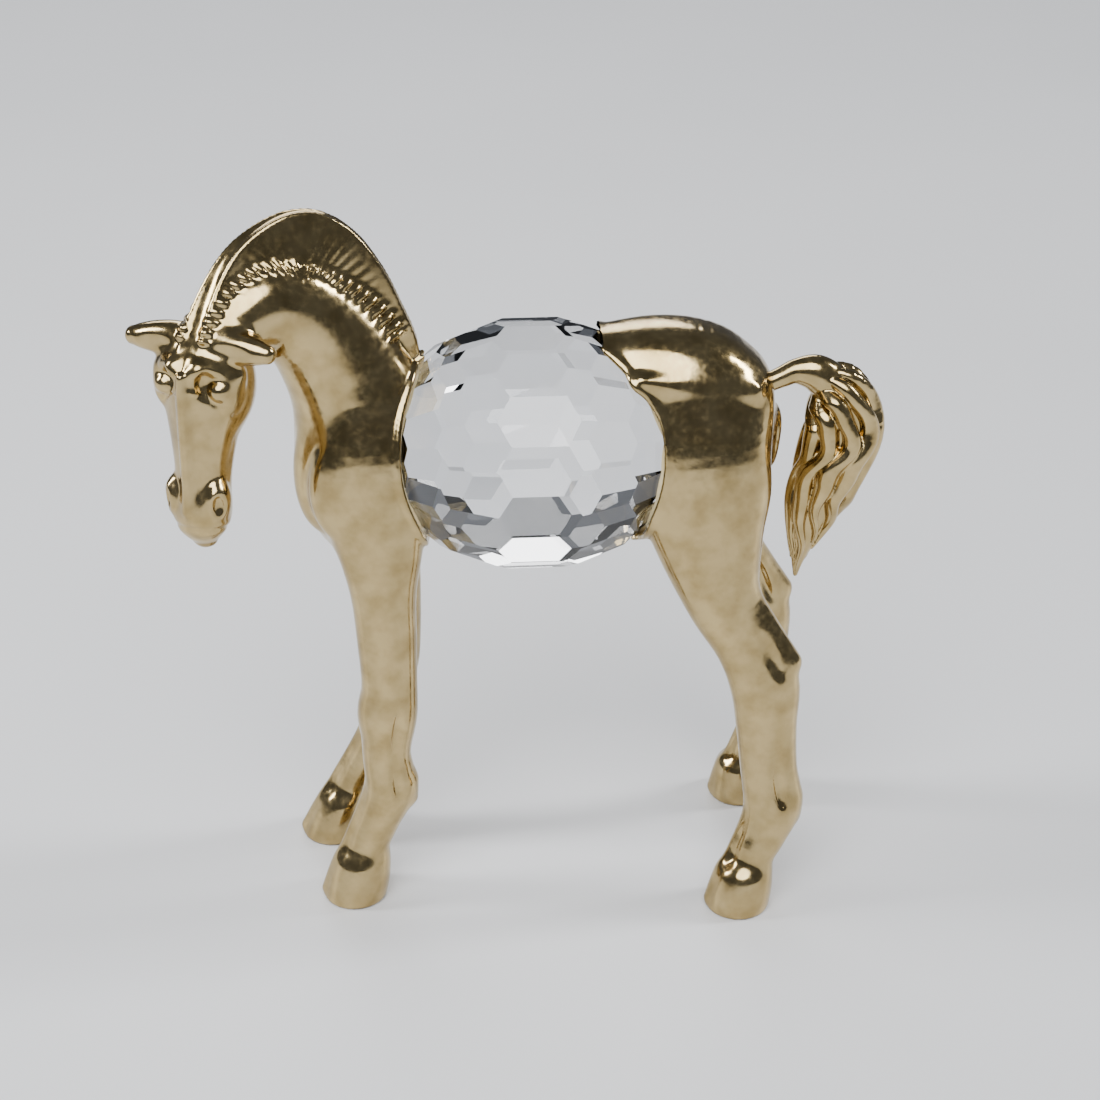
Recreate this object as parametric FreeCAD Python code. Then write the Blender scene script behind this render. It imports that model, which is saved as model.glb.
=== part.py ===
import FreeCAD
import Part
import math
import os

# Horse figurine: two gold-plated castings bonded to the ends of a faceted crystal
# barrel that stands in for the horse's body.  Millimetres, +Z up.  The horse faces
# -X, its left side is -Y, and the hooves stand on Z = 0.

# ---- driving dimensions ----
CRYSTAL_RADIUS = 6.85         # to the middle of a facet, across the barrel
CRYSTAL_HALF_LENGTH = 8.6     # of the oval that every facet touches
CRYSTAL_END_FLAT = 8.2        # where the two small end facets cut the oval off
CRYSTAL_HEIGHT = 27.5         # barrel axis above the floor
FACETS_PER_RING = 16
FACET_RINGS = (0.0, 3.6, 6.2, 7.7)   # distance of each ring from mid-length
CUP_CLEARANCE = 1.03          # cup size over the oval, leaving room for the bond

HEAD_TURN = 65.0              # degrees the head looks round to its left
POLL = FreeCAD.Vector(-17.5, -3.3, 36.4)
EYE_PLACE = (1.35, 1.6, 2.95)        # forward of, out from and below the poll
EYE_RADIUS = 0.95
NOSTRIL_PLACE = (2.0, 1.15, 9.3)
NOSTRIL_RADIUS = 0.6

TAIL_SPIGOT_RADIUS = 0.5
TAIL_SPIGOT_LENGTH = 3.0
TAIL_SPIGOT_PROUD = 0.9       # how far it runs on into the tail, past the rump
SOLDER_THICKNESS = 0.15
TAIL_ROOT = FreeCAD.Vector(13.0, 0.0, 30.75)
TAIL_AXIS = FreeCAD.Vector(0.93, 0.0, 0.37)

# Stations run down each limb: x, y, z, half depth (fore and aft), half width.
FORELEG = (
    (-9.4, -1.6, 31.0, 1.3, 0.9),
    (-9.3, -2.1, 28.6, 2.5, 1.8),
    (-9.0, -2.4, 25.6, 2.8, 2.0),
    (-8.7, -2.7, 22.6, 2.4, 1.8),
    (-8.6, -2.95, 19.8, 1.85, 1.55),
    (-8.5, -3.1, 17.0, 1.7, 1.45),
    (-8.45, -3.2, 14.4, 1.6, 1.4),
    (-8.55, -3.2, 12.2, 1.65, 1.5),
    (-8.75, -3.25, 9.7, 1.4, 1.25),
    (-8.6, -3.3, 7.4, 1.5, 1.45),
    (-9.3, -3.3, 5.4, 1.3, 1.3),
    (-10.0, -3.35, 3.7, 1.2, 1.25),
    (-10.6, -3.4, 2.2, 0.9, 0.9),
)
HIND_LEG = (
    (8.8, -1.7, 31.6, 1.6, 1.0),
    (9.0, -2.3, 28.8, 3.5, 2.2),
    (9.3, -2.7, 25.6, 3.8, 2.4),
    (9.7, -3.2, 22.4, 3.0, 2.1),
    (10.5, -3.8, 19.2, 2.15, 1.6),
    (11.9, -4.2, 16.6, 1.9, 1.35),
    (12.9, -4.5, 14.2, 2.0, 1.4),
    (13.1, -4.75, 11.4, 1.75, 1.25),
    (13.3, -5.0, 8.8, 1.65, 1.25),
    (13.6, -5.2, 6.5, 1.7, 1.45),
    (13.1, -5.5, 4.7, 1.4, 1.3),
    (12.5, -5.7, 3.4, 1.2, 1.25),
    (12.1, -5.85, 2.2, 0.9, 0.9),
)
FORE_HOOF = (                 # x, y, z, half depth, half width
    (-10.25, -3.35, 3.35, 1.3, 1.4),
    (-10.6, -3.4, 1.8, 1.7, 1.7),
    (-10.9, -3.4, 0.0, 1.95, 1.9),
)
HIND_HOOF = (
    (12.1, -5.8, 3.1, 1.35, 1.4),
    (11.8, -5.9, 1.6, 1.7, 1.75),
    (11.6, -6.0, 0.0, 1.9, 1.9),
)
# The right legs are the left ones mirrored and stepped: offset in x at the top, and
# how much further the hoof stands forward (negative) or back.
FAR_FORE_STEP = (0.35, -1.75)
FAR_HIND_STEP = (0.9, 0.9)
NECK = (                      # x, y, z, half depth, half width, turn of the section
    (-8.6, 0.0, 20.8, 0.7, 0.8, 0.0),
    (-8.6, 0.0, 21.6, 2.4, 2.2, 0.0),
    (-8.8, 0.0, 23.6, 3.7, 3.0, 0.0),
    (-9.0, 0.0, 26.4, 4.2, 3.5, 0.0),
    (-9.2, 0.0, 29.2, 4.1, 3.5, 0.0),
    (-10.1, -0.1, 32.1, 3.5, 3.1, 5.0),
    (-11.6, -0.5, 34.9, 3.1, 2.6, 15.0),
    (-13.7, -1.4, 36.6, 2.6, 2.2, 35.0),
    (-15.9, -2.6, 36.2, 1.9, 1.9, 55.0),
    (-17.3, -3.4, 34.6, 1.5, 1.5, 65.0),
    (-17.7, -3.6, 33.0, 0.8, 0.8, 65.0),
)
HEAD = (                      # forward of the poll, below it, half depth, half width
    (-0.3, -0.1, 0.6, 0.6),
    (-0.1, 0.6, 1.5, 1.45),
    (0.1, 1.9, 2.25, 2.2),
    (0.3, 3.5, 2.5, 2.3),
    (0.8, 5.4, 2.1, 1.8),
    (1.3, 7.6, 1.6, 1.4),
    (1.5, 9.4, 1.45, 1.55),
    (1.5, 10.8, 1.2, 1.35),
    (1.4, 11.9, 0.6, 0.7),
)
RUMP = (                      # x, z, half height, half width
    (4.4, 28.1, 6.2, 3.4),
    (7.0, 28.3, 6.3, 3.9),
    (9.0, 28.3, 6.0, 4.0),
    (11.0, 28.0, 5.1, 3.6),
    (12.6, 27.7, 3.6, 2.7),
    (13.4, 27.6, 1.6, 1.2),
)
EAR = (                       # out from the poll, below it, half height, half thickness
    (0.4, 0.85, 0.8, 0.7),
    (2.2, 0.95, 0.82, 0.75),
    (3.3, 1.02, 0.6, 0.58),
    (4.15, 1.08, 0.3, 0.3),
)
EAR_FORWARD = 0.5             # of the poll
MANE_RIDGE = (                # x, y, z, turn of the blade, thickness, depth below the ridge
    (-6.1, 0.0, 31.4, 0.0, 0.6, 1.6),
    (-6.2, 0.0, 33.8, 0.0, 1.0, 2.4),
    (-7.0, 0.0, 36.0, 0.0, 1.0, 3.2),
    (-8.0, 0.0, 38.2, 2.0, 1.0, 3.4),
    (-9.5, -0.1, 40.3, 6.0, 1.0, 3.4),
    (-11.4, -0.4, 41.5, 12.0, 1.0, 3.4),
    (-13.5, -1.1, 41.5, 25.0, 1.0, 3.4),
    (-15.8, -2.3, 40.2, 42.0, 1.1, 3.1),
    (-17.3, -3.7, 38.0, 58.0, 1.25, 2.6),
    (-18.2, -4.9, 35.6, 65.0, 1.25, 2.0),
    (-18.3, -4.9, 33.8, 65.0, 1.0, 1.2),
    (-18.0, -4.4, 32.4, 65.0, 0.7, 0.8),
)
TAIL_LINE = (                 # x, z, half thickness, depth of the flutes between locks
    (13.5, 30.95, 0.6, 0.0),
    (14.6, 31.4, 0.72, 0.02),
    (15.9, 31.2, 1.3, 0.08),
    (17.0, 30.1, 1.95, 0.12),
    (17.5, 28.1, 2.3, 0.14),
    (17.0, 25.9, 2.25, 0.14),
    (16.2, 23.6, 1.9, 0.14),
    (15.6, 21.4, 1.25, 0.12),
    (15.3, 19.7, 0.58, 0.05),
    (15.2, 18.7, 0.2, 0.0),
)

OVAL_POINTS = 8               # points each section curve is drawn through
TAIL_FLUTES = 7               # locks of hair round the tail
LEG_SWING_FROM = 15.0         # height at which a right leg starts to step away
CENTRE = FreeCAD.Vector(0.0, 0.0, CRYSTAL_HEIGHT)


def turned(vector, degrees):
    """A vector turned about +Z."""
    turn = FreeCAD.Rotation(FreeCAD.Vector(0, 0, 1), degrees)
    return turn.multVec(vector)


def oval_wire(centre, tangent, across, half_depth, half_width, squareness=1.0):
    """A smooth closed section square to the tangent: an ellipse, or boxier when squareness < 1."""
    along = FreeCAD.Vector(tangent).normalize()
    wide = across - along * across.dot(along)
    wide.normalize()
    deep = along.cross(wide)
    points = []
    for step in range(OVAL_POINTS):
        angle = 2 * math.pi * step / OVAL_POINTS
        reach_wide = math.copysign(abs(math.cos(angle)) ** squareness, math.cos(angle)) * half_width
        reach_deep = math.copysign(abs(math.sin(angle)) ** squareness, math.sin(angle)) * half_depth
        points.append(centre + wide * reach_wide + deep * reach_deep)
    curve = Part.BSplineCurve()
    curve.interpolate(Points=points, PeriodicFlag=True)
    return Part.Wire(curve.toShape())


def path_tangent(points, index):
    """Direction of a path at one of its points."""
    before = points[max(index - 1, 0)]
    after = points[min(index + 1, len(points) - 1)]
    return after - before


def loft(wires):
    """A smooth solid through a row of closed sections."""
    return Part.makeLoft(wires, True, False)


def limb(stations):
    """Oval sections lofted through stations given as x, y, z, half depth, half width."""
    points = [FreeCAD.Vector(*station[:3]) for station in stations]
    across = FreeCAD.Vector(0, 1, 0)
    wires = []
    for index, station in enumerate(stations):
        wires.append(oval_wire(points[index], path_tangent(points, index), across, station[3], station[4]))
    return loft(wires)


def hoof(stations):
    """A hoof: level oval sections, the last of them its flat sole."""
    wires = []
    for x, y, z, depth, width in stations:
        centre = FreeCAD.Vector(x, y, z)
        wires.append(oval_wire(centre, FreeCAD.Vector(0, 0, -1), FreeCAD.Vector(0, 1, 0), depth, width))
    return loft(wires)


def far_side(stations, step):
    """The right leg's stations, from the left leg's."""
    offset, swing = step
    result = []
    for x, y, z, depth, width in stations:
        share = max(0.0, 1.0 - z / LEG_SWING_FROM)
        result.append((x + offset + swing * share ** 1.5, -y, z, depth, width))
    return result


def leg_pair(stations, hoof_stations, step):
    """Both legs of a casting, each with its hoof."""
    solids = [limb(stations), hoof(hoof_stations)]
    solids.append(limb(far_side(stations, step)))
    solids.append(hoof(far_side(hoof_stations, step)))
    return solids


# ---- crystal ----
def clip_polygon(polygon, normal, offset):
    """The part of a flat polygon on the inner side of the plane normal . p = offset."""
    kept = []
    for index, point in enumerate(polygon):
        previous = polygon[index - 1]
        d0 = normal.dot(previous) - offset
        d1 = normal.dot(point) - offset
        if (d0 < 0) != (d1 < 0):
            kept.append(previous + (point - previous) * (d0 / (d0 - d1)))
        if d1 < 0:
            kept.append(point)
    return kept


def facet_planes():
    """Outward normal and offset of every facet, for a barrel centred on the origin."""
    planes = [(FreeCAD.Vector(side, 0, 0), CRYSTAL_END_FLAT) for side in (-1, 1)]
    for ring, distance in enumerate(FACET_RINGS):
        radius = CRYSTAL_RADIUS * math.sqrt(1 - (distance / CRYSTAL_HALF_LENGTH) ** 2)
        slope_x = distance / CRYSTAL_HALF_LENGTH ** 2
        slope_r = radius / CRYSTAL_RADIUS ** 2
        size = math.hypot(slope_x, slope_r)
        sides = (1,) if ring == 0 else (-1, 1)
        for side in sides:
            for facet in range(FACETS_PER_RING):
                share = facet + (0.5 if ring % 2 == 0 else 0.0)
                angle = 2 * math.pi * share / FACETS_PER_RING
                normal = FreeCAD.Vector(
                    side * slope_x / size,
                    math.sin(angle) * slope_r / size,
                    math.cos(angle) * slope_r / size)
                planes.append((normal, 1.0 / size))
    return planes


def crystal():
    """Solid bounded by the facet planes."""
    planes = facet_planes()
    faces = []
    for normal, offset in planes:
        guide = FreeCAD.Vector(0, 0, 1) if abs(normal.x) > 0.5 else FreeCAD.Vector(1, 0, 0)
        u = normal.cross(guide).normalize()
        v = normal.cross(u)
        foot = normal * offset
        polygon = [foot + u * (30 * a) + v * (30 * b) for a, b in ((1, 1), (-1, 1), (-1, -1), (1, -1))]
        for other, limit in planes:
            if other.getAngle(normal) > 1e-6:
                polygon = clip_polygon(polygon, other, limit)
        corners = [p for i, p in enumerate(polygon) if (p - polygon[i - 1]).Length > 1e-4]
        if len(corners) > 2:
            faces.append(Part.Face(Part.makePolygon(corners + corners[:1])))
    shell = Part.makeShell(faces)
    shell.sewShape()
    solid = Part.makeSolid(shell)
    solid.translate(CENTRE)
    return solid


def cup_oval():
    """The smooth oval the cups are cut with, a little larger than the crystal."""
    half_length = CRYSTAL_HALF_LENGTH * CUP_CLEARANCE
    radius = CRYSTAL_RADIUS * CUP_CLEARANCE
    ellipse = Part.Ellipse(FreeCAD.Vector(0, 0, 0), half_length, radius)
    arc = ellipse.toShape(0, math.pi)
    base = Part.makeLine(FreeCAD.Vector(-half_length, 0, 0), FreeCAD.Vector(half_length, 0, 0))
    face = Part.Face(Part.Wire([arc, base]))
    solid = face.revolve(FreeCAD.Vector(0, 0, 0), FreeCAD.Vector(1, 0, 0), 360)
    solid.translate(CENTRE)
    return solid


# ---- forequarter ----
def head_point(forward, left, down):
    """A point given in the turned head's own directions, from the poll."""
    face = turned(FreeCAD.Vector(-1, 0, 0), HEAD_TURN)
    side = turned(FreeCAD.Vector(0, -1, 0), HEAD_TURN)
    return POLL + face * forward + side * left + FreeCAD.Vector(0, 0, -down)


def neck_and_chest():
    """Chest and arched neck, its top end buried in the skull."""
    points = [FreeCAD.Vector(*station[:3]) for station in NECK]
    wires = []
    for index, (x, y, z, depth, width, turn) in enumerate(NECK):
        across = turned(FreeCAD.Vector(0, 1, 0), turn)
        wires.append(oval_wire(points[index], path_tangent(points, index), across, depth, width))
    return loft(wires)


def skull():
    """The hanging head, from the poll down to the muzzle."""
    across = turned(FreeCAD.Vector(0, 1, 0), HEAD_TURN)
    points = [head_point(forward, 0, down) for forward, down, depth, width in HEAD]
    wires = []
    for index, (forward, down, depth, width) in enumerate(HEAD):
        wires.append(oval_wire(points[index], path_tangent(points, index), across, depth, width))
    return loft(wires)


def ear(side):
    """A thick cone of an ear, laid out sideways and narrowed to its tip."""
    points = [head_point(EAR_FORWARD, side * out, below) for out, below, high, thick in EAR]
    upright = FreeCAD.Vector(0, 0, 1)
    wires = []
    for index, (out, below, high, thick) in enumerate(EAR):
        wires.append(oval_wire(points[index], path_tangent(points, index), upright, thick, high))
    return loft(wires)


def mane():
    """The roached mane: an upright blade that follows the crest down to the forehead."""
    points = [FreeCAD.Vector(*station[:3]) for station in MANE_RIDGE]
    wires = []
    for index, (x, y, z, turn, thickness, depth) in enumerate(MANE_RIDGE):
        along = path_tangent(points, index).normalize()
        across = turned(FreeCAD.Vector(0, 1, 0), turn)
        across = (across - along * across.dot(along)).normalize()
        middle = points[index] + along.cross(across) * (depth / 2)
        wires.append(oval_wire(middle, along, across, depth / 2, thickness / 2, 0.5))
    return loft(wires)


def forequarter_blank():
    """The whole front casting before its cup is cut."""
    solids = leg_pair(FORELEG, FORE_HOOF, FAR_FORE_STEP)
    solids.extend((skull(), mane(), ear(1), ear(-1)))
    for side in (-1, 1):
        for (forward, out, below), radius in ((EYE_PLACE, EYE_RADIUS), (NOSTRIL_PLACE, NOSTRIL_RADIUS)):
            solids.append(Part.makeSphere(radius, head_point(forward, side * out, below)))
    return neck_and_chest().fuse(solids)


# ---- hindquarter ----
def rump():
    """The barrel of the hindquarter, from the cup's rim back under the tail."""
    across = FreeCAD.Vector(0, 1, 0)
    wires = []
    for x, z, height, width in RUMP:
        wires.append(oval_wire(FreeCAD.Vector(x, 0, z), FreeCAD.Vector(1, 0, 0), across, height, width))
    return loft(wires)


def hindquarter_blank():
    """The whole rear casting before its cup and the tail's socket are cut."""
    return rump().fuse(leg_pair(HIND_LEG, HIND_HOOF, FAR_HIND_STEP))


# ---- tail ----
def tail_spigot(radius):
    """A round bar from the tail root back into the rump."""
    outer_end = TAIL_ROOT + TAIL_AXIS * TAIL_SPIGOT_PROUD
    return Part.makeCylinder(radius, TAIL_SPIGOT_LENGTH, outer_end, TAIL_AXIS * -1)


def fluted_wire(centre, tangent, across, radius, depth):
    """A round section with shallow flutes, one between each two locks of hair."""
    along = FreeCAD.Vector(tangent).normalize()
    deep = along.cross(across)
    count = TAIL_FLUTES * 4
    points = []
    for step in range(count):
        angle = 2 * math.pi * step / count
        reach = radius * (1 - depth / 2 + depth / 2 * math.cos(angle * TAIL_FLUTES))
        points.append(centre + across * (reach * math.cos(angle)) + deep * (reach * math.sin(angle)))
    curve = Part.BSplineCurve()
    curve.interpolate(Points=points, PeriodicFlag=True)
    return Part.Wire(curve.toShape())


def tail():
    """The arched tail with its spigot."""
    line = [FreeCAD.Vector(x, 0, z) for x, z, half, depth in TAIL_LINE]
    across = FreeCAD.Vector(0, 1, 0)
    wires = []
    for index, (x, z, half, depth) in enumerate(TAIL_LINE):
        wires.append(fluted_wire(line[index], path_tangent(line, index), across, half, depth))
    return loft(wires).fuse(tail_spigot(TAIL_SPIGOT_RADIUS))


# ---- assembly ----
def build():
    """Every node's solid, by name."""
    stone = crystal()
    cup = cup_oval()
    fore = forequarter_blank()
    hind = hindquarter_blank()
    socket = tail_spigot(TAIL_SPIGOT_RADIUS + SOLDER_THICKNESS)
    tail_shape = tail()
    parts = {
        "forequarter_casting": fore.cut(cup),
        "hindquarter_casting": hind.cut([cup, socket, tail_shape]),
        "crystal_body": stone,
        "front_adhesive": fore.common(cup).cut(stone),
        "rear_adhesive": hind.common(cup).cut(stone),
        "tail_casting": tail_shape,
        "tail_solder": hind.common(socket).cut(tail_shape),
    }
    return parts


def write(parts):
    """Centre the whole figurine on the origin, hooves on the floor, and export it."""
    box = FreeCAD.BoundBox()
    for shape in parts.values():
        box.add(shape.optimalBoundingBox(True, False))
    shift = FreeCAD.Vector(-box.Center.x, -box.Center.y, -box.ZMin)
    os.makedirs("parts", exist_ok=True)
    for name, shape in parts.items():
        moved = shape.copy()
        moved.translate(shift)
        moved.exportStep("parts/%s.step" % name)
        print(name, moved.isValid(), len(moved.Solids), round(moved.Volume, 2), moved.BoundBox)


write(build())
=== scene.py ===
import math

import bpy
import numpy as np
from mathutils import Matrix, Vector


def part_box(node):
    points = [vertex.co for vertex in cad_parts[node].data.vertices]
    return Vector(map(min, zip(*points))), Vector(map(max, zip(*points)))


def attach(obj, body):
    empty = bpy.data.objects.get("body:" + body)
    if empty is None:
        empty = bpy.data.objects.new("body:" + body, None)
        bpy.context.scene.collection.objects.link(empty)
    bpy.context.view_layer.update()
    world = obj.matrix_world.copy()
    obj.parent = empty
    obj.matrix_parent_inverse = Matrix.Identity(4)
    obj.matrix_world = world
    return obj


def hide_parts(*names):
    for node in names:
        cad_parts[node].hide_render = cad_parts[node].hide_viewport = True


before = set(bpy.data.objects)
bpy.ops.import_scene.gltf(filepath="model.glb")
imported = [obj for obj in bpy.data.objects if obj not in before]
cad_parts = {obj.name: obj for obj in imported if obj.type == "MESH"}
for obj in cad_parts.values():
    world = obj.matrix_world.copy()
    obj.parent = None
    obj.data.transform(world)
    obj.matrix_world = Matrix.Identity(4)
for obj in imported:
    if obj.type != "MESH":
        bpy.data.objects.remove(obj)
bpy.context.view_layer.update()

# Horse figurine: gold-plated castings on either end of a faceted crystal barrel.
# The castings are sculpted here as smooth distance fields, in millimetres, in a frame
# whose x = y = 0 is the middle of the crystal and whose z = 0 is the floor.

MM = 0.001
CRYSTAL_HEIGHT = 27.5
CUP_HALF_LENGTH = 8.86        # the oval seats of the crystal
CUP_RADIUS = 7.06
CRYSTAL_LOW, CRYSTAL_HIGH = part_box("crystal_body")
SHIFT_X = (CRYSTAL_LOW[0] + CRYSTAL_HIGH[0]) / 2 / MM
SHIFT_Y = (CRYSTAL_LOW[1] + CRYSTAL_HIGH[1]) / 2 / MM

HEAD_TURN = math.radians(65.0)
POLL = np.array((-17.5, -3.3, 36.4))
FACE_WAY = np.array((-math.cos(HEAD_TURN), -math.sin(HEAD_TURN), 0.0))
HEAD_LEFT = np.array((math.sin(HEAD_TURN), -math.cos(HEAD_TURN), 0.0))
FAR = 6.0                     # stands for "nowhere near" in a distance field

# Stations: x, y, z, half depth, half width, turn of the section in degrees.
FORELEG = (
    (-9.4, -1.6, 31.0, 1.3, 0.9, 0),
    (-9.3, -2.1, 28.6, 2.5, 1.8, 0),
    (-9.0, -2.4, 25.6, 2.8, 2.0, 0),
    (-8.7, -2.7, 22.6, 2.4, 1.8, 0),
    (-8.6, -2.95, 19.8, 1.85, 1.55, 0),
    (-8.5, -3.1, 17.0, 1.7, 1.45, 0),
    (-8.45, -3.2, 14.4, 1.6, 1.4, 0),
    (-8.55, -3.2, 12.2, 1.65, 1.5, 0),
    (-8.75, -3.25, 9.7, 1.4, 1.25, 0),
    (-8.6, -3.3, 7.4, 1.5, 1.45, 0),
    (-9.3, -3.3, 5.4, 1.3, 1.3, 0),
    (-10.0, -3.35, 3.7, 1.2, 1.25, 0),
    (-10.6, -3.4, 2.2, 0.9, 0.9, 0),
)
HIND_LEG = (
    (8.8, -1.7, 31.6, 1.6, 1.0, 0),
    (9.0, -2.3, 28.8, 3.5, 2.2, 0),
    (9.3, -2.7, 25.6, 3.8, 2.4, 0),
    (9.7, -3.2, 22.4, 3.0, 2.1, 0),
    (10.5, -3.8, 19.2, 2.15, 1.6, 0),
    (11.9, -4.2, 16.6, 1.9, 1.35, 0),
    (12.9, -4.5, 14.2, 2.0, 1.4, 0),
    (13.1, -4.75, 11.4, 1.75, 1.25, 0),
    (13.3, -5.0, 8.8, 1.65, 1.25, 0),
    (13.6, -5.2, 6.5, 1.7, 1.45, 0),
    (13.1, -5.5, 4.7, 1.4, 1.3, 0),
    (12.5, -5.7, 3.4, 1.2, 1.25, 0),
    (12.1, -5.85, 2.2, 0.9, 0.9, 0),
)
# A hoof's middle at its top and at its sole.
FORE_HOOF = ((-10.25, -3.35, 3.35), (-10.9, -3.4, 0.0))
HIND_HOOF = ((12.1, -5.8, 3.1), (11.6, -6.0, 0.0))
# The right legs are the left ones mirrored: offset in x, and how far the hoof steps on.
FAR_FORE_STEP = (0.35, -1.75)
FAR_HIND_STEP = (0.9, 0.9)
LEG_SWING_FROM = 15.0         # height at which a right leg starts to step away
NECK = (
    (-8.6, 0.0, 20.8, 0.7, 0.8, 0),
    (-8.6, 0.0, 21.6, 2.4, 2.2, 0),
    (-8.8, 0.0, 23.6, 3.7, 3.0, 0),
    (-9.0, 0.0, 26.4, 4.2, 3.5, 0),
    (-9.2, 0.0, 29.2, 4.1, 3.5, 0),
    (-10.1, -0.1, 32.1, 3.5, 3.1, 5),
    (-11.6, -0.5, 34.9, 3.1, 2.6, 15),
    (-13.7, -1.4, 36.6, 2.6, 2.2, 35),
    (-15.9, -2.6, 36.2, 1.9, 1.9, 55),
    (-17.3, -3.4, 34.6, 1.5, 1.5, 65),
    (-17.7, -3.6, 33.0, 0.8, 0.8, 65),
)
HEAD = (                      # forward of the poll, below it, half depth, half width
    (-0.3, -0.1, 0.6, 0.6),
    (-0.1, 0.6, 1.5, 1.45),
    (0.1, 1.9, 2.25, 2.2),
    (0.3, 3.5, 2.5, 2.3),
    (0.8, 5.4, 2.1, 1.8),
    (1.3, 7.6, 1.6, 1.4),
    (1.5, 9.4, 1.45, 1.55),
    (1.5, 10.8, 1.2, 1.35),
    (1.4, 11.9, 0.6, 0.7),
)
EAR = (                       # out from the poll, below it, half height, half thickness
    (0.6, 0.9, 0.95, 0.9),
    (1.5, 0.85, 0.98, 0.92),
    (2.5, 0.88, 0.88, 0.84),
    (3.4, 0.95, 0.7, 0.68),
    (3.95, 1.0, 0.52, 0.5),
)
EAR_FORWARD = 0.5             # of the poll
RUMP = (
    (4.4, 0.0, 28.1, 6.2, 3.4, 0),
    (7.0, 0.0, 28.3, 6.3, 3.9, 0),
    (9.0, 0.0, 28.3, 6.0, 4.0, 0),
    (11.0, 0.0, 28.0, 5.1, 3.6, 0),
    (12.6, 0.0, 27.7, 3.7, 2.8, 0),
    (13.4, 0.0, 27.6, 1.8, 1.4, 0),
)
MANE_RIDGE = (                # x, y, z, depth below the ridge, half thickness, turn
    (-6.1, 0.0, 31.4, 1.6, 0.3, 0),
    (-6.2, 0.0, 33.8, 2.4, 0.4, 0),
    (-7.0, 0.0, 36.0, 3.2, 0.4, 0),
    (-8.0, 0.0, 38.2, 3.4, 0.4, 2),
    (-9.5, -0.1, 40.3, 3.4, 0.4, 6),
    (-11.4, -0.4, 41.5, 3.4, 0.43, 12),
    (-13.5, -1.1, 41.5, 3.4, 0.48, 25),
    (-15.8, -2.3, 40.2, 3.1, 0.55, 42),
    (-17.3, -3.7, 38.0, 2.6, 0.62, 58),
    (-18.2, -4.9, 35.6, 2.0, 0.62, 65),
    (-18.3, -4.9, 33.8, 1.2, 0.5, 65),
    (-18.0, -4.4, 32.4, 0.8, 0.35, 65),
)
TAIL = (
    (13.2, 0.0, 30.8, 0.55, 0.55, 0),
    (13.9, 0.0, 31.1, 0.6, 0.6, 0),
    (14.7, 0.0, 31.4, 0.75, 0.7, 0),
    (15.9, 0.0, 31.2, 1.35, 1.2, 0),
    (17.0, 0.0, 30.1, 1.95, 1.85, 0),
    (17.5, 0.0, 28.1, 2.3, 2.15, 0),
    (17.0, 0.0, 25.9, 2.25, 2.1, 0),
    (16.2, 0.0, 23.6, 1.9, 1.8, 0),
    (15.6, 0.0, 21.4, 1.25, 1.2, 0),
    (15.3, 0.0, 19.7, 0.58, 0.58, 0),
    (15.2, 0.0, 18.7, 0.2, 0.2, 0),
)
TAIL_LOCKS = 9
LOCK_PITCH = 0.62             # spacing of the mane's lock ends
RIM_BEAD_RADIUS = 0.2
RIM_BEAD_PLACE = 0.22         # outside the cup's oval
FOREQUARTER_CELL = 0.13       # spacing of the grid each casting's surface is found on
HINDQUARTER_CELL = 0.14
TAIL_CELL = 0.08


# ---- distance fields ----
def smooth_min(a, b, blend):
    """Union of two fields with a fillet about as wide as blend."""
    share = np.clip(0.5 + 0.5 * (b - a) / blend, 0, 1)
    return b + (a - b) * share - blend * share * (1 - share)


def smooth_max(a, b, blend):
    """Overlap of two fields, its edge rounded about as wide as blend."""
    return -smooth_min(-a, -b, blend)


def ramp(x, low, high):
    """0 below low, 1 above high, smooth between."""
    t = np.clip((x - low) / (high - low), 0, 1)
    return t * t * (3 - 2 * t)


def bump(x, middle, half_width):
    """A smooth bump of height 1."""
    return np.exp(-((x - middle) / half_width) ** 2)


def spline(stations, steps):
    """Catmull-Rom curve through every column of the stations."""
    rows = np.array(stations, float)
    rows = np.vstack((2 * rows[0] - rows[1], rows, 2 * rows[-1] - rows[-2]))
    result = []
    for index in range(1, len(rows) - 2):
        a, b, c, d = rows[index - 1:index + 3]
        for t in np.arange(steps) / steps:
            result.append(0.5 * (2 * b + (c - a) * t + (2 * a - 5 * b + 4 * c - d) * t ** 2
                                 + (3 * b - a - 3 * c + d) * t ** 3))
    result.append(rows[-2])
    return np.array(result)


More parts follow.
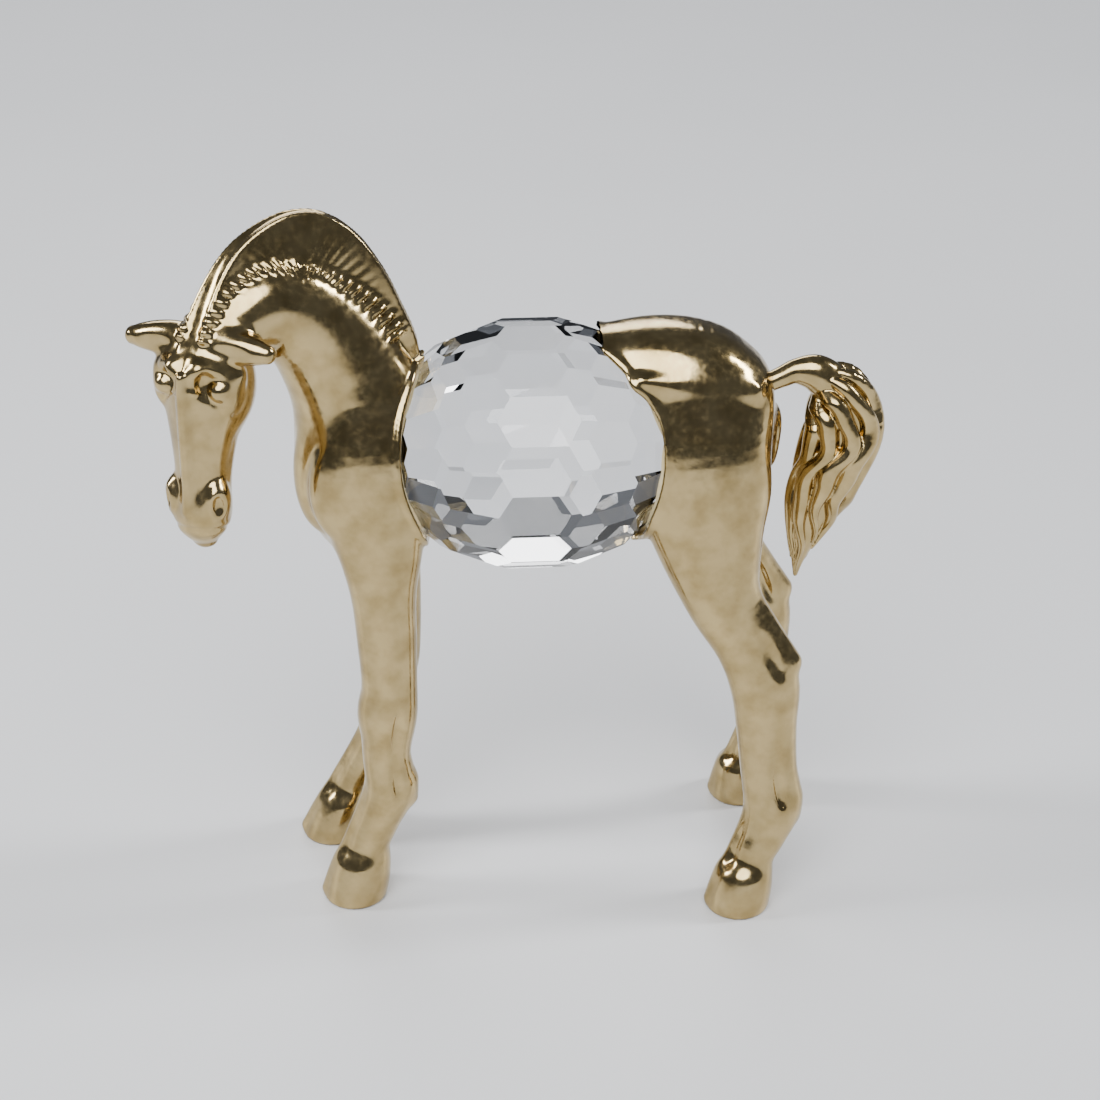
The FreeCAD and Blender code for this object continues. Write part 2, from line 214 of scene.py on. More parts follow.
class Sweep:
    """A bent bar of oval section. Stations are x, y, z, half depth, half width, turn."""

    def __init__(self, stations, steps=5, power=2.0, cap=0.6, across=(0, 1, 0)):
        table = spline(stations, steps)
        self.centre = table[:, :3]
        self.depth = np.maximum(table[:, 3], 0.02)
        self.width = np.maximum(table[:, 4], 0.02)
        turn = np.radians(table[:, 5])
        tangent = np.gradient(self.centre, axis=0)
        self.step = np.linalg.norm(tangent, axis=1)
        self.tangent = tangent / self.step[:, None]
        if across == (0, 1, 0):
            wide = np.stack((-np.sin(turn), np.cos(turn), 0 * turn), 1)
        else:
            wide = np.tile(np.array(across, float), (len(table), 1))
        wide -= self.tangent * (wide * self.tangent).sum(1)[:, None]
        self.wide = wide / np.linalg.norm(wide, axis=1)[:, None]
        self.deep = np.cross(self.tangent, self.wide)
        pieces = np.linalg.norm(np.diff(self.centre, axis=0), axis=1)
        self.length = np.concatenate(((0,), np.cumsum(pieces)))
        self.power = power
        self.cap = cap
        reach = np.maximum(self.depth, self.width)[:, None]
        self.low = (self.centre - reach).min(0)
        self.high = (self.centre + reach).max(0)

    def pick(self, column, t):
        """A column's value at a place between stations."""
        low = np.minimum(t.astype(int), len(column) - 2)
        share = t - low
        if column.ndim == 2:
            share = share[:, None]
        return column[low] * (1 - share) + column[low + 1] * share

    def local(self, points):
        """Place along the bar, offsets deep and wide, how far past an end, half depth, half width."""
        square = (self.centre ** 2).sum(1) - 2 * points @ self.centre.T
        t = square.argmin(1).astype(float)
        last = len(self.centre) - 1
        for _ in range(3):
            gap = ((points - self.pick(self.centre, t)) * self.pick(self.tangent, t)).sum(1)
            t = np.clip(t + gap / self.pick(self.step, t), 0, last)
        offset = points - self.pick(self.centre, t)
        over = (offset * self.pick(self.tangent, t)).sum(1)
        deep = (offset * self.pick(self.deep, t)).sum(1)
        wide = (offset * self.pick(self.wide, t)).sum(1)
        return t, deep, wide, over, self.pick(self.depth, t), self.pick(self.width, t)

    def oval(self, deep, wide, over, depth, width):
        """Distance to the section, to first order."""
        ends = np.minimum(depth, width) * self.cap
        power = self.power
        deep, wide, over = np.abs(deep / depth), np.abs(wide / width), np.abs(over / ends)
        ratio = (deep ** power + wide ** power + over ** power) ** (1 / power)
        slope = np.sqrt((deep ** (power - 1) / depth) ** 2
                        + (wide ** (power - 1) / width) ** 2
                        + (over ** (power - 1) / ends) ** 2)
        slope = slope / np.maximum(ratio, 1e-3) ** (power - 1)
        inner = (ratio - 1) * np.minimum(depth, width)
        outer = (ratio - 1) / np.maximum(slope, 1 / np.maximum(depth, width))
        return np.where(ratio < 0.3, inner, outer)

    def near(self, points, margin):
        """Which points lie in the bar's box, grown by the margin."""
        return ((points > self.low - margin) & (points < self.high + margin)).all(1)

    def field(self, points, shape=None, margin=1.6):
        """Distance to the bar, with shape(t, deep, wide, over, depth, width) for a special section."""
        result = np.full(len(points), FAR)
        near = self.near(points, margin)
        if near.any():
            t, deep, wide, over, depth, width = self.local(points[near])
            if shape is None:
                result[near] = self.oval(deep, wide, over, depth, width)
            else:
                result[near] = shape(t, deep, wide, over, depth, width)
        return result


def ball(points, centre, radii, axes=None):
    """Distance to an ellipsoid, to first order. axes holds its three directions as rows."""
    offset = points - np.array(centre)
    if axes is not None:
        offset = offset @ np.array(axes).T
    radii = np.array(radii, float)
    k0 = np.linalg.norm(offset / radii, axis=1)
    k1 = np.linalg.norm(offset / radii ** 2, axis=1)
    return np.where(k0 < 0.2, (k0 - 1) * radii.min(), k0 * (k0 - 1) / np.maximum(k1, 1e-6))


def rod(points, start, end, radius_start, radius_end):
    """Distance to a straight bar with round ends."""
    start, end = np.array(start, float), np.array(end, float)
    along = end - start
    share = np.clip((points - start) @ along / (along @ along), 0, 1)
    gap = np.linalg.norm(points - start - share[:, None] * along, axis=1)
    return gap - radius_start - (radius_end - radius_start) * share


def cup(points):
    """Distance to the oval that both cups are cut with."""
    return ball(points, (0, 0, CRYSTAL_HEIGHT), (CUP_HALF_LENGTH, CUP_RADIUS, CUP_RADIUS))


def cut_cup(points, blank):
    """The blank with its cup cut out and a fine raised bead round the cup's rim."""
    seat = cup(points)
    bead = np.sqrt(blank ** 2 + (seat - RIM_BEAD_PLACE) ** 2) - RIM_BEAD_RADIUS
    open_cup = smooth_max(blank, -seat, 0.12)
    return smooth_min(open_cup, bead, 0.1)


# ---- sculpt to mesh ----
CORNERS = [(i, j, k) for i in (0, 1) for j in (0, 1) for k in (0, 1)]
EDGES = [(a, b) for a in range(8) for b in range(a + 1, 8)
         if sum(abs(p - q) for p, q in zip(CORNERS[a], CORNERS[b])) == 1]


def evaluate(field, points, chunk=150000):
    """The field at many points, a batch at a time to spare memory."""
    parts = [field(points[start:start + chunk]) for start in range(0, len(points), chunk)]
    return np.concatenate(parts)


def sample(field, low, high, cell):
    """The field on a grid, evaluated closely only in the blocks that hold its surface."""
    block = 8
    blocks = np.ceil((np.array(high) - low) / (cell * block)).astype(int)
    index = np.stack(np.meshgrid(*[np.arange(n) for n in blocks], indexing="ij"), -1).reshape(-1, 3)
    middle = np.array(low) + (index + 0.5) * block * cell
    rough = evaluate(field, middle)
    grid = np.repeat(np.repeat(np.repeat(rough.reshape(blocks), block, 0), block, 1), block, 2)
    keep = index[np.abs(rough) < block * cell * 1.25 + 0.15]
    inner = np.stack(np.meshgrid(*[np.arange(block)] * 3, indexing="ij"), -1).reshape(-1, 3)
    for start in range(0, len(keep), 256):
        cells = (keep[start:start + 256, None, :] * block + inner[None]).reshape(-1, 3)
        values = field(np.array(low) + cells * cell)
        grid[cells[:, 0], cells[:, 1], cells[:, 2]] = values
    return grid


def surface_nets(grid, low, cell):
    """Vertices and quads of the surface where the grid changes sign."""
    inside = grid < 0
    count = sum(inside[i:inside.shape[0] - 1 + i, j:inside.shape[1] - 1 + j,
                       k:inside.shape[2] - 1 + k].astype(np.int8) for i, j, k in CORNERS)
    cells = np.argwhere((count > 0) & (count < 8))
    values = np.stack([grid[cells[:, 0] + i, cells[:, 1] + j, cells[:, 2] + k] for i, j, k in CORNERS], 1)
    total = np.zeros((len(cells), 3))
    hits = np.zeros(len(cells))
    for a, b in EDGES:
        crossing = (values[:, a] < 0) != (values[:, b] < 0)
        share = np.where(crossing, values[:, a] / np.where(crossing, values[:, a] - values[:, b], 1), 0)
        place = np.array(CORNERS[a]) + share[:, None] * (np.array(CORNERS[b]) - np.array(CORNERS[a]))
        total += place * crossing[:, None]
        hits += crossing
    vertices = np.array(low) + (cells + total / hits[:, None]) * cell
    number = np.full(count.shape, -1, np.int32)
    number[cells[:, 0], cells[:, 1], cells[:, 2]] = np.arange(len(cells))
    quads = []
    for axis in range(3):
        u, v = (axis + 1) % 3, (axis + 2) % 3
        first = [slice(1, -1)] * 3
        second = [slice(1, -1)] * 3
        first[axis] = slice(0, -1)
        second[axis] = slice(1, None)
        change = inside[tuple(first)] != inside[tuple(second)]
        where = np.argwhere(change)
        offset = np.array([1, 1, 1])
        offset[axis] = 0
        where = where + offset
        outward = inside[where[:, 0], where[:, 1], where[:, 2]]
        ring = []
        for du, dv in ((-1, -1), (0, -1), (0, 0), (-1, 0)):
            at = where.copy()
            at[:, u] += du
            at[:, v] += dv
            ring.append(number[at[:, 0], at[:, 1], at[:, 2]])
        ring = np.stack(ring, 1)
        ring[~outward] = ring[~outward][:, ::-1]
        quads.append(ring)
    return vertices, np.concatenate(quads)


def settle(field, vertices, quads, cell):
    """Evens the vertices out, draws them onto the exact surface and flattens the soles."""
    for _ in range(2):
        total = np.zeros_like(vertices)
        hits = np.zeros(len(vertices))
        for a, b in ((0, 1), (1, 2), (2, 3), (3, 0)):
            for p, q in ((a, b), (b, a)):
                for axis in range(3):
                    total[:, axis] += np.bincount(quads[:, p], vertices[quads[:, q], axis], len(vertices))
                hits += np.bincount(quads[:, p], minlength=len(vertices))
        vertices = vertices + 0.5 * (total / np.maximum(hits, 1)[:, None] - vertices)
        value = evaluate(field, vertices)
        slope = np.stack([evaluate(field, vertices + step) - value for step in np.eye(3) * 0.02], 1) / 0.02
        size = np.maximum((slope ** 2).sum(1), 0.25)
        move = -(value / size)[:, None] * slope
        length = np.linalg.norm(move, axis=1)
        move *= np.minimum(1, 0.6 * cell / np.maximum(length, 1e-9))[:, None]
        vertices = vertices + move
    vertices[:, 2] = np.where(vertices[:, 2] < 0.35 * cell, 0, vertices[:, 2])
    return vertices


def sculpt(name, field, low, high, cell):
    """A mesh object of the field's surface, moved into the frame in metres."""
    grid = sample(field, low, high, cell)
    vertices, quads = surface_nets(grid, low, cell)
    vertices = settle(field, vertices, quads, cell)
    vertices = (vertices + np.array((SHIFT_X, SHIFT_Y, 0))) * MM
    mesh = bpy.data.meshes.new(name)
    mesh.vertices.add(len(vertices))
    mesh.vertices.foreach_set("co", vertices.astype(np.float32).ravel())
    mesh.loops.add(quads.size)
    mesh.loops.foreach_set("vertex_index", quads.astype(np.int32).ravel())
    mesh.polygons.add(len(quads))
    mesh.polygons.foreach_set("loop_start", np.arange(0, quads.size, 4, dtype=np.int32))
    mesh.update(calc_edges=True)
    mesh.validate()
    mesh.polygons.foreach_set("use_smooth", np.ones(len(mesh.polygons), bool))
    thing = bpy.data.objects.new(name, mesh)
    bpy.context.collection.objects.link(thing)
    print(name, len(vertices), len(quads))
    return thing


# ---- legs ----
def far_side(stations, step):
    """A right leg's stations, from the left leg's."""
    offset, swing = step
    result = []
    for station in stations:
        x, y, z = station[:3]
        share = max(0.0, 1.0 - z / LEG_SWING_FROM) ** 1.5
        result.append((x + offset + swing * share, -y, z) + tuple(station[3:]))
    return result


def hoof_field(points, ends):
    """A hoof: a leaning bell with a rounded top and a flat sole."""
    top, sole = np.array(ends[0]), np.array(ends[1])
    share = np.clip((points[:, 2] - sole[2]) / (top[2] - sole[2]), -0.3, 1.3)
    centre = sole + (top - sole) * share[:, None]
    radius = 1.84 + 0.10 * np.sin(share * math.pi) - 0.36 * np.abs(share) ** 1.5
    gap = np.linalg.norm(points[:, :2] - centre[:, :2], axis=1)
    wall = (gap - radius) * 0.96
    wall = smooth_max(wall, points[:, 2] - top[2], 0.9)
    return smooth_max(wall, -points[:, 2], 0.22)


class Leg:
    """One leg with its hoof; side is -1 for a left leg and +1 for a right one."""

    def __init__(self, stations, hoof, step, side, hind):
        if side > 0:
            stations = far_side(stations, step)
            hoof = far_side(hoof, step)
        self.bar = Sweep(stations, power=2.15)
        self.hoof = hoof
        self.side = side
        self.hind = hind
        self.fetlock = np.array(stations[9][:3])
        self.cannon_top = np.array(stations[6 if hind else 7][:3])
        self.toe = np.array(hoof[1][:3]) - (1.5, 0, 0)

    def field(self, points):
        """Distance to the leg with its hoof."""
        leg = self.bar.field(points)
        low = points[:, 2] < 5.5
        if low.any():
            leg[low] = smooth_min(leg[low], hoof_field(points[low], self.hoof), 0.6)
        mid = (points[:, 2] < 22) & (leg < 1.5)
        if mid.any():
            leg[mid] = self.detail(points[mid], leg[mid])
        return leg

    def detail(self, p, leg):
        """Heel, tendon grooves and the knee or hock, worked onto the plain bar."""
        knee, fetlock = self.cannon_top, self.fetlock
        heel = rod(p, fetlock + (0.85, 0.0, 0.3), fetlock + (1.1, 0, -0.75), 0.66, 0.42)
        leg = smooth_min(leg, heel, 0.6)
        middle = (knee + fetlock) / 2
        along = (knee - fetlock) / np.linalg.norm(knee - fetlock)
        for way in (-1, 1):
            slant = np.array((0.88, way * 0.47, 0.0))
            slant = slant / np.linalg.norm(slant)
            axes = (slant, np.cross(along, slant), along)
            groove = ball(p, middle + np.array((0.85, way * 1.62, 0.1)), (0.85, 0.42, 3.6), axes)
            leg = smooth_max(leg, -groove, 0.15)
        if self.hind:
            leg = self.hock(p, leg, knee)
        else:
            cap = ball(p, knee + np.array((-0.7, 0, 0.1)), (0.95, 1.2, 1.5))
            leg = smooth_min(leg, cap, 0.6)
            leg = smooth_min(leg, self.toe_ridge(p), 0.4)
        return leg

    def hock(self, p, leg, knee):
        """The heel bone with its tendon, and the hollow between the tendon and the shin."""
        point = knee + np.array((1.45, 0, 1.3))
        string = knee + np.array((-1.5, -self.side * 0.5, 6.2))
        leg = smooth_min(leg, rod(p, point, string, 0.62, 0.35), 0.6)
        along = np.array((-0.36, 0, 0.93))
        axes = (np.cross(along, (0, 1, 0)), (0, 1, 0), along)
        for way in (-1, 1):
            place = knee + np.array((0.15, way * 1.55 - self.side * 0.1, 2.5))
            hollow = ball(p, place, (0.45, 0.62, 1.9), axes)
            leg = smooth_max(leg, -hollow, 0.3)
        return smooth_min(leg, self.toe_ridge(p), 0.4)

    def toe_ridge(self, p):
        """The crisp line down the front of the pastern and the hoof."""
        return rod(p, self.fetlock + (-0.95, 0, 0.4), self.toe + (-0.12, 0, 0.5), 0.3, 0.3)


# ---- forequarter ----
class Forequarter:
    """The front casting: head, mane, neck, chest and forelegs."""

    def __init__(self):
        self.near_leg = Leg(FORELEG, FORE_HOOF, FAR_FORE_STEP, -1, False)
        self.far_leg = Leg(FORELEG, FORE_HOOF, FAR_FORE_STEP, 1, False)
        self.neck = Sweep(NECK, power=2.0)
        self.mane = Sweep(MANE_RIDGE, steps=12, cap=1.0)
        head = []
        for forward, down, depth, width in HEAD:
            x, y, z = POLL + FACE_WAY * forward - np.array((0, 0, down))
            head.append((x, y, z, depth, width, math.degrees(HEAD_TURN)))
        self.skull = Sweep(head, power=2.0, cap=0.8)
        self.ears = {}
        for side in (-1, 1):
            stations = []
            for out, drop, high, thick in EAR:
                x, y, z = POLL + FACE_WAY * EAR_FORWARD + HEAD_LEFT * (side * out) - np.array((0, 0, drop))
                stations.append((x, y, z, thick, high, 0))
            self.ears[side] = Sweep(stations, cap=0.9, across=(0, 0, 1))

    def mane_field(self, points, neck):
        """An upright blade with combed sides and a row of lock ends along its foot."""
        lengths = self.mane.length
        neck_gap = {}

        def blade(t, deep, wide, over, depth, width):
            place = np.interp(t, np.arange(len(lengths)), lengths)
            fade = ramp(place, 2.2, 3.6) * (1 - ramp(place, lengths[-1] - 4.0, lengths[-1] - 2.6))
            phase = place / LOCK_PITCH
            comb = np.cos(2 * math.pi * phase)
            half = width - 0.05 + 0.32 * np.clip(deep, 0, 2.4)
            side = (np.abs(wide) - half - 0.012 * comb * ramp(deep, 0.3, 1.4) * fade) * 0.95
            dish = 0.14 * (1 - np.minimum(1, np.abs(wide) / width) ** 2)
            flat = smooth_max(dish - deep, deep - depth, 0.12)
            body = smooth_max(side, flat, 0.14)
            body = smooth_max(body, np.abs(over) - 0.2, 0.1)
            along = (phase % 1.0 - 0.5) * LOCK_PITCH
            long = 1 + 0.7 * (1 - ramp(place, 3.0, 9.0))
            foot = neck_gap["value"] - 0.06
            out = np.abs(wide) - half - 0.1
            lock = np.sqrt((along / 0.27) ** 2 + (foot / (0.34 * long)) ** 2 + (out / (0.30 * long)) ** 2)
            lock = (lock - 1) * 0.26 + (1 - fade) * 2 + ramp(deep, 3.2, 3.7) * 2
            return smooth_min(body, lock, 0.22)

        near = self.mane.near(points, 3.6)
        neck_gap["value"] = neck[near]
        return self.mane.field(points, blade, margin=3.6)

    def head_field(self, points):
        """Skull, face, ears and mouth, in the head's own directions."""
        q = points - POLL
        forward = q @ FACE_WAY
        left = q @ HEAD_LEFT
        down = -q[:, 2]
        side = np.abs(left)
        p = np.stack((forward, side, down), 1)
        head = self.skull.field(points)
        plane = forward * 0.80 + side * 0.60 - 2.42
        head = np.where((down > 3.0) & (down < 11.0), smooth_max(head, plane, 0.3), head)
        nose = rod(p, (2.82, 0, 2.0), (2.98, 0, 9.6), 0.18, 0.22)
        head = smooth_min(head, nose, 0.5)
        cheek = ball(p, (-0.5, 1.15, 3.6), (1.95, 1.1, 2.3))
        head = smooth_min(head, cheek, 0.6)
        jaw = rod(p, (-0.6, 0.6, 5.2), (0.9, 0.35, 10.6), 0.75, 0.6)
        head = smooth_min(head, jaw, 0.7)
        muzzle = ball(p, (1.6, 0, 10.0), (1.35, 1.5, 1.7))
        head = smooth_min(head, muzzle, 0.6)
        socket = ball(p, (2.0, 1.9, 2.75), (0.95, 0.75, 1.0))
        head = smooth_max(head, -socket, 0.4)
        brow = rod(p, (2.15, 0.75, 1.75), (0.7, 2.2, 2.3), 0.42, 0.40)
        head = smooth_min(head, brow, 0.7)
        orbit = ball(p, (0.95, 1.95, 3.1), (0.85, 0.55, 1.25))
        head = smooth_min(head, orbit, 0.45)
        hollow = ball(p, (2.3, 1.25, 2.5), (0.5, 0.6, 0.75))
        head = smooth_max(head, -hollow, 0.35)
        eye = ball(p, (1.5, 1.6, 2.95), (0.68, 0.62, 0.62))
        head = smooth_min(head, eye, 0.2)
        flare = ball(p, (1.9, 1.25, 9.2), (0.85, 0.6, 1.1))
        head = smooth_min(head, flare, 0.35)
        nostril = ball(p, (2.5, 1.6, 9.3), (0.4, 0.32, 0.62))
        head = smooth_max(head, -nostril, 0.2)
        lip = bump(down, 10.75 + 0.22 * (2.4 - forward), 0.13) * ramp(forward, 0.4, 1.2)
        head = head + 0.07 * lip * (head < 1.0)
        for way, bar in self.ears.items():
            ear = bar.field(points)
            hollow = ball(np.stack((forward, left * way, down), 1), (1.72, 2.3, 0.9), (0.5, 1.3, 0.5))
            ear = smooth_max(ear, -hollow, 0.3)
            head = smooth_min(head, ear, 0.4)
        return head

    def blank(self, points):
        """The casting before its cup is cut."""
        body = self.neck.field(points)
        for leg in (self.near_leg, self.far_leg):
            body = smooth_min(body, leg.field(points), 1.3)
        chest = (points[:, 2] > 18) & (points[:, 2] < 36) & (body < 1.5)
        if chest.any():
            body[chest] = self.chest_detail(points[chest], body[chest])
        top = points[:, 2] > 22
        if top.any():
            high = points[top]
            part = body[top]
            near_head = np.linalg.norm((high - POLL - np.array((0, 0, -6)))[:, :2], axis=1) < 7.5
            if near_head.any():
                face = self.head_field(high[near_head])
                part[near_head] = smooth_min(part[near_head], face, 0.6)
            part = smooth_min(part, self.mane_field(high, part), 0.16)
            body[top] = part
        return body

    def chest_detail(self, p, body):
        """Two breast muscles on each side, the outer one at the point of the shoulder."""
        for way in (-1, 1):
            inner = ball(p, (-11.9, way * 1.5, 26.6), (1.4, 1.15, 3.2))
            body = smooth_min(body, inner, 0.65)
            outer = ball(p, (-11.1, way * 3.1, 26.3), (1.3, 0.85, 2.5))
            body = smooth_min(body, outer, 0.6)
        return body

    def field(self, points):
        return cut_cup(points, self.blank(points))


# ---- hindquarter ----
class Hindquarter:
    """The rear casting: rump and hind legs."""

    def __init__(self):
        self.rump = Sweep(RUMP, power=2.6, cap=0.3)
        self.near_leg = Leg(HIND_LEG, HIND_HOOF, FAR_HIND_STEP, -1, True)
        self.far_leg = Leg(HIND_LEG, HIND_HOOF, FAR_HIND_STEP, 1, True)

    def blank(self, points):
        """The casting before its cup is cut."""
        body = self.rump.field(points)
        for leg in (self.near_leg, self.far_leg):
            body = smooth_min(body, leg.field(points), 0.9)
        top = (points[:, 2] > 28) & (body < 1.5)
        if top.any():
            for way in (-1, 1):
                hip = rod(points[top], (5.6, way * 3.3, 32.4), (11.8, way * 2.55, 31.4), 0.35, 0.4)
                body[top] = smooth_min(body[top], hip, 0.7)
        return body

    def field(self, points):
        return cut_cup(points, self.blank(points))


# ---- tail ----
class Tail:
    """The tail: wavy locks of hair laid round a core."""

    def __init__(self):
        self.bar = Sweep(TAIL, cap=1.0)

    def field(self, points):
        lengths = self.bar.length

        def locks(t, deep, wide, over, depth, width):
            place = np.interp(t, np.arange(len(lengths)), lengths)
            share = place / lengths[-1]
            grow = ramp(share, 0.08, 0.26)
            core = 1 - 0.36 * grow
            result = self.bar.oval(deep, wide, over, depth * core, width * core)
            for lock in range(TAIL_LOCKS):
                wave = 0.30 * np.sin(place * 0.8 + lock * 0.45) + 0.09 * np.sin(place * 2.1 + lock * 1.9)
                angle = 2 * math.pi * lock / TAIL_LOCKS + 0.05 * place + wave
                end = 1.03 - 0.045 * (lock * 4 % 5)
                thin = np.sqrt(np.clip((end - share) / 0.25, 0, 1))
                reach = 0.72 * grow * np.where(share < end, 1, 0.3)
                thick = np.minimum(depth, width) * (0.27 + 0.03 * np.sin(place * 1.1 + lock * 1.7))
                gap = np.hypot(deep - depth * reach * np.cos(angle), wide - width * reach * np.sin(angle))
                strand = np.hypot(gap, over) - np.maximum(thick * thin * grow, 0.05)
                result = smooth_min(result, strand, 0.07)
            return result

        return self.bar.field(points, locks, margin=0.8)


# ---- materials ----
def new_material(name):
    """A node material with its tree and its main shader."""
    material = bpy.data.materials.new(name)
    material.use_nodes = True
    return material, material.node_tree, material.node_tree.nodes["Principled BSDF"]


def link(tree, source, output, target, socket):
    """Joins one node's output to another's socket."""
    tree.links.new(source.outputs[output], target.inputs[socket])


def mottled_material(name, dark, light, scale, smoothest, roughest):
    """A material whose colour and roughness both wander a little from place to place."""
    material, tree, shader = new_material(name)
    nodes = tree.nodes
    place = nodes.new("ShaderNodeTexCoord")
    tone = nodes.new("ShaderNodeTexNoise")
    tone.inputs["Scale"].default_value = scale
    tone.inputs["Detail"].default_value = 4.0
    colours = nodes.new("ShaderNodeValToRGB")
    colours.color_ramp.elements[0].color = (*dark, 1)
    colours.color_ramp.elements[1].color = (*light, 1)
    colours.color_ramp.elements[0].position = 0.3
    colours.color_ramp.elements[1].position = 0.62
    grain = nodes.new("ShaderNodeTexNoise")
    grain.inputs["Scale"].default_value = scale * 3.7
    grain.inputs["Detail"].default_value = 6.0
    rough = nodes.new("ShaderNodeMapRange")
    rough.inputs["From Min"].default_value = 0.35
    rough.inputs["From Max"].default_value = 0.7
    rough.inputs["To Min"].default_value = smoothest
    rough.inputs["To Max"].default_value = roughest
    for texture in (tone, grain):
        link(tree, place, "Object", texture, "Vector")
    link(tree, tone, "Fac", colours, "Fac")
    link(tree, colours, "Color", shader, "Base Color")
    link(tree, grain, "Fac", rough, "Value")
    link(tree, rough, "Result", shader, "Roughness")
    return material, tree, shader


def add_relief(tree, shader, scale, strength):
    """The faint unevenness of a hand-finished casting."""
    place = tree.nodes.new("ShaderNodeTexCoord")
    relief = tree.nodes.new("ShaderNodeTexNoise")
    relief.inputs["Scale"].default_value = scale
    relief.inputs["Detail"].default_value = 3.0
    dent = tree.nodes.new("ShaderNodeBump")
    dent.inputs["Strength"].default_value = strength
    dent.inputs["Distance"].default_value = 0.0001
    link(tree, place, "Object", relief, "Vector")
    link(tree, relief, "Fac", dent, "Height")
    link(tree, dent, "Normal", shader, "Normal")


def gold_material():
    """Polished gold plating over a slightly uneven casting, with fine wear."""
    dark, light = (0.36, 0.262, 0.112), (0.52, 0.395, 0.19)
    material, tree, shader = mottled_material("gold_plating", dark, light, 700.0, 0.10, 0.24)
    shader.inputs["Metallic"].default_value = 1.0
    add_relief(tree, shader, 900.0, 0.12)
    return material


def crystal_material():
    """Clear cut crystal with the faintest handling haze."""
    dark, light = (0.95, 0.965, 0.99), (0.99, 0.995, 1.0)
    material, tree, shader = mottled_material("cut_crystal", dark, light, 260.0, 0.0, 0.02)
    shader.inputs["IOR"].default_value = 1.56
    shader.inputs["Transmission Weight"].default_value = 1.0
    return material


def bond_material():
    """Set resin with the odd cloudy patch."""
    dark, light = (0.66, 0.53, 0.27), (0.82, 0.69, 0.40)
    return mottled_material("clear_bond", dark, light, 500.0, 0.12, 0.30)[0]


def solder_material():
    """Dull tin with a fine oxide bloom."""
    dark, light = (0.44, 0.42, 0.37), (0.60, 0.58, 0.53)
    material, tree, shader = mottled_material("solder", dark, light, 1500.0, 0.28, 0.45)
    shader.inputs["Metallic"].default_value = 1.0
    add_relief(tree, shader, 2500.0, 0.3)
    return material


# ---- pieces ----
def build_castings(gold):
    """The three gold castings, each in place of its CAD node."""
    fore = Forequarter()
    hind = Hindquarter()
    tail = Tail()
    jobs = (
        ("forequarter", fore.field, (-22.6, -8.0, -0.4), (-4.0, 6.4, 42.6), FOREQUARTER_CELL),
        ("hindquarter", hind.field, (3.6, -8.6, -0.4), (18.4, 8.8, 35.6), HINDQUARTER_CELL),
        ("tail", tail.field, (12.6, -2.8, 18.0), (20.6, 2.8, 32.8), TAIL_CELL),
    )
    for name, field, low, high, cell in jobs:
        thing = sculpt(name, field, low, high, cell)
        thing.data.materials.append(gold)
        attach(thing, "root")
        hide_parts(name + "_casting")


def dress_cad(node, material):
    """Gives a carried-over CAD node its material."""
    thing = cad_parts[node]
    thing.data.materials.clear()
    thing.data.materials.append(material)


def build_floor():
    """A plain pale floor."""
    bpy.ops.mesh.primitive_plane_add(size=3.0)
    floor = bpy.context.object
    floor.name = "floor"
    material, tree, shader = new_material("pale_floor")
    noise = tree.nodes.new("ShaderNodeTexNoise")
    noise.inputs["Scale"].default_value = 60.0
    colours = tree.nodes.new("ShaderNodeValToRGB")
    colours.color_ramp.elements[0].color = (0.66, 0.67, 0.69, 1)
    colours.color_ramp.elements[1].color = (0.72, 0.73, 0.75, 1)
    link(tree, noise, "Fac", colours, "Fac")
    link(tree, colours, "Color", shader, "Base Color")
    shader.inputs["Roughness"].default_value = 0.45
    floor.data.materials.append(material)


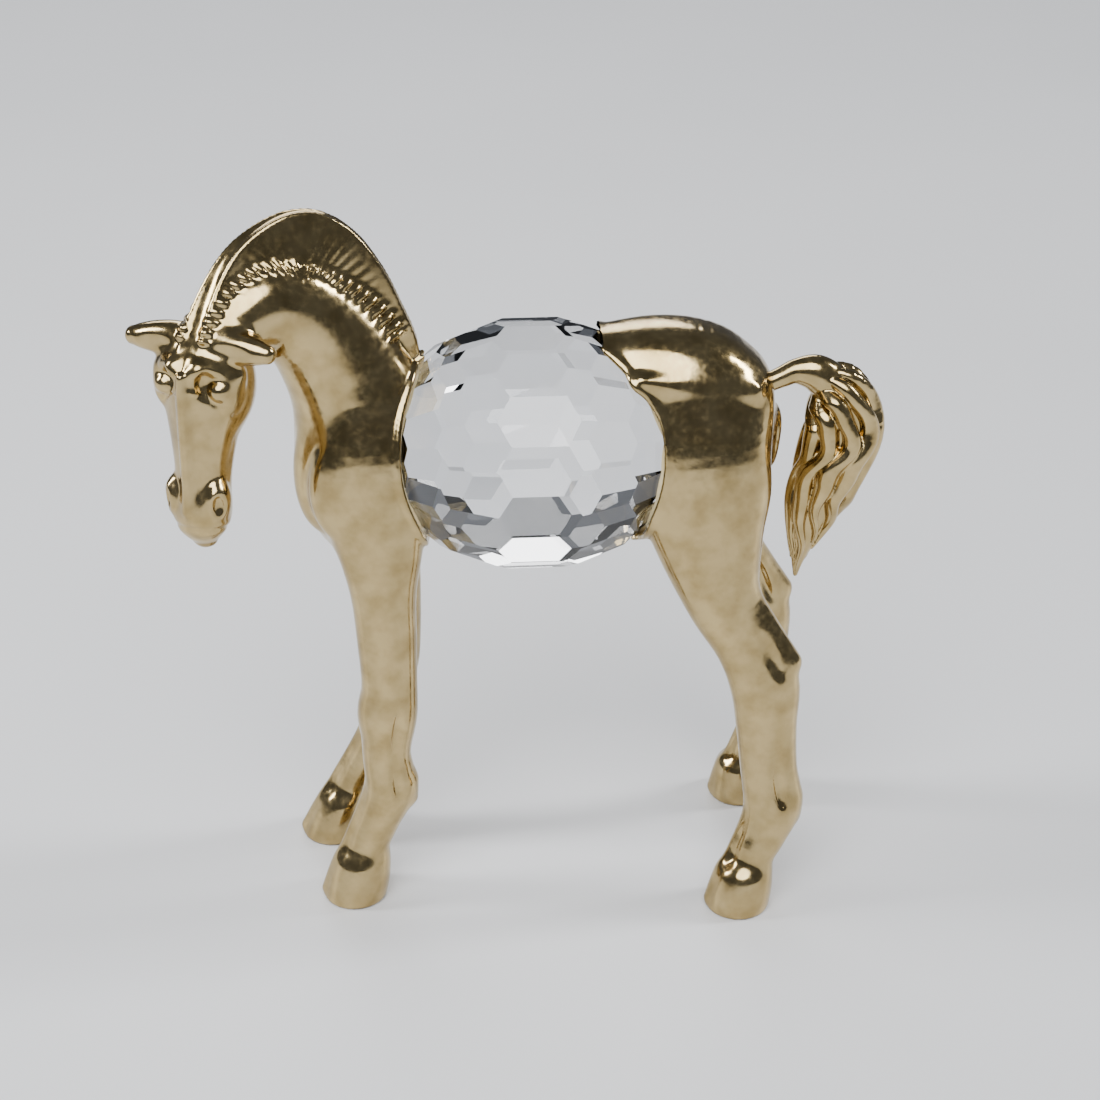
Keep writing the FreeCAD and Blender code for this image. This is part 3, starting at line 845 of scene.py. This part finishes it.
# ---- light and camera ----
def area_light(name, place, aim, size, power):
    """A white oval softbox that faces the figurine."""
    data = bpy.data.lights.new(name, "AREA")
    data.shape = "ELLIPSE"
    data.size, data.size_y = size
    data.energy = power
    lamp = bpy.data.objects.new(name, data)
    bpy.context.collection.objects.link(lamp)
    lamp.location = place
    point_at(lamp, aim)


def point_at(thing, aim):
    """Turns a lamp to look at a point."""
    way = Vector(aim) - Vector(thing.location)
    thing.rotation_euler = way.to_track_quat("-Z", "Y").to_euler()


def build_light():
    """A dim room with four softboxes."""
    world = bpy.data.worlds.new("room")
    world.use_nodes = True
    back = world.node_tree.nodes["Background"]
    back.inputs["Color"].default_value = (0.30, 0.32, 0.36, 1)
    back.inputs["Strength"].default_value = 0.4
    bpy.context.scene.world = world
    aim = (0, 0, 0.022)
    area_light("overhead", (-0.05, -0.24, 0.32), aim, (0.36, 0.30), 1.9)
    area_light("left", (-0.36, 0.02, 0.26), aim, (0.10, 0.20), 1.3)
    area_light("right", (0.36, 0.04, 0.24), aim, (0.08, 0.20), 1.3)
    area_light("behind", (-0.04, 0.42, 0.26), aim, (0.40, 0.16), 0.8)


def build_camera():
    """Looks down at the figurine from its left, a touch towards its head."""
    elevation, azimuth = math.radians(27.0), math.radians(-4.0)
    back = np.array((math.sin(azimuth) * math.cos(elevation), -math.cos(azimuth) * math.cos(elevation),
                     math.sin(elevation)))
    right = np.array((math.cos(azimuth), math.sin(azimuth), 0.0))
    up = np.cross(back, right)
    crystal_middle = np.array((SHIFT_X, SHIFT_Y, CRYSTAL_HEIGHT))
    aim_right, aim_down, distance = 0.95, 5.98, 130.0
    place = crystal_middle + right * aim_right - up * aim_down + back * distance
    data = bpy.data.cameras.new("camera")
    data.sensor_width = 36.0
    data.lens = 76.16
    data.clip_start = 0.005
    camera = bpy.data.objects.new("camera", data)
    bpy.context.collection.objects.link(camera)
    camera.location = place * MM
    camera.rotation_euler = (math.pi / 2 - elevation, 0, azimuth)
    bpy.context.scene.camera = camera


def main():
    gold = gold_material()
    build_castings(gold)
    dress_cad("crystal_body", crystal_material())
    bond = bond_material()
    dress_cad("front_adhesive", bond)
    dress_cad("rear_adhesive", bond)
    dress_cad("tail_solder", solder_material())
    build_floor()
    build_light()
    build_camera()


main()
